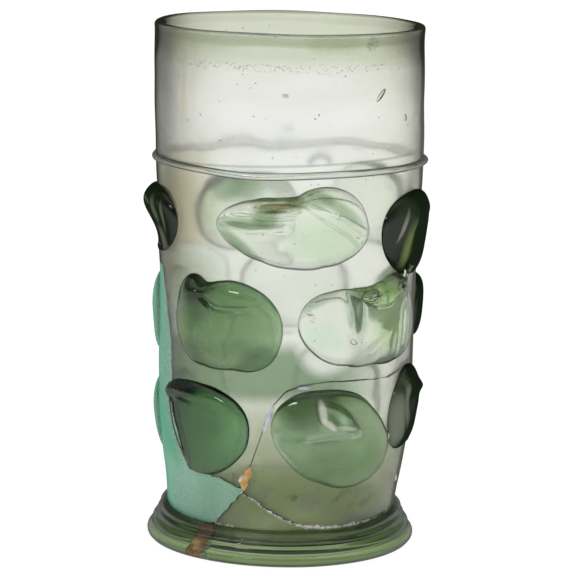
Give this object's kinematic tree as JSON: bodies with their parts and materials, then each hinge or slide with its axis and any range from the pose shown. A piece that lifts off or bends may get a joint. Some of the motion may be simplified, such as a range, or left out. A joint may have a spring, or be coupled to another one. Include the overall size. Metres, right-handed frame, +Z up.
{
  "type": "prunted beaker",
  "caption": "Cylindrical drinking beaker of blown green glass with staggered rows of flattened prunts, a trailed collar, a wound foot ring and a kicked base, mended with cast resin.",
  "frame": {"origin": "middle of the foot ring's underside, on the surface the beaker stands on", "axes": "+Z up along the beaker's axis, -Y towards the pictured front, +X to the right of the picture"},
  "size_m": [0.0923, 0.0941, 0.168],
  "materials": {
    "wall_glass": "clear blown glass of a pale grey-green, with seeds, faint streaks and light weathering",
    "prunt_glass": "clear green glass, thick, tooled flat, with folds and small bubbles",
    "trail_glass": "olive green glass, trailed and tooled in ridges",
    "cast_resin": "clear turquoise casting resin with a darker streak along the join",
    "ring_resin": "brown clear resin, smooth",
    "adhesive": "aged orange-brown glue",
    "filler": "chalky pale filler"
  },
  "bodies": {
    "root": {"vessel_upper": "wall_glass", "vessel_lower_sherd": "wall_glass", "vessel_base": "wall_glass", "resin_panel": "cast_resin", "prunt_upper_front": "prunt_glass", "prunt_upper_right": "prunt_glass", "prunt_upper_back_right": "prunt_glass", "prunt_upper_back_left": "prunt_glass", "prunt_upper_left": "prunt_glass", "prunt_middle_front_left": "prunt_glass", "prunt_middle_front_right": "prunt_glass", "prunt_middle_right": "prunt_glass", "prunt_middle_back": "prunt_glass", "prunt_lower_front_left": "prunt_glass", "prunt_lower_front_right": "prunt_glass", "prunt_lower_right": "prunt_glass", "prunt_lower_back": "prunt_glass", "resin_prunt_middle": "cast_resin", "resin_prunt_lower": "cast_resin", "collar_thread": "trail_glass", "foot_ring": "trail_glass", "foot_ring_plug": "ring_resin", "adhesive_lump": "adhesive", "filler_patch": "filler"}
  },
  "joints": []
}
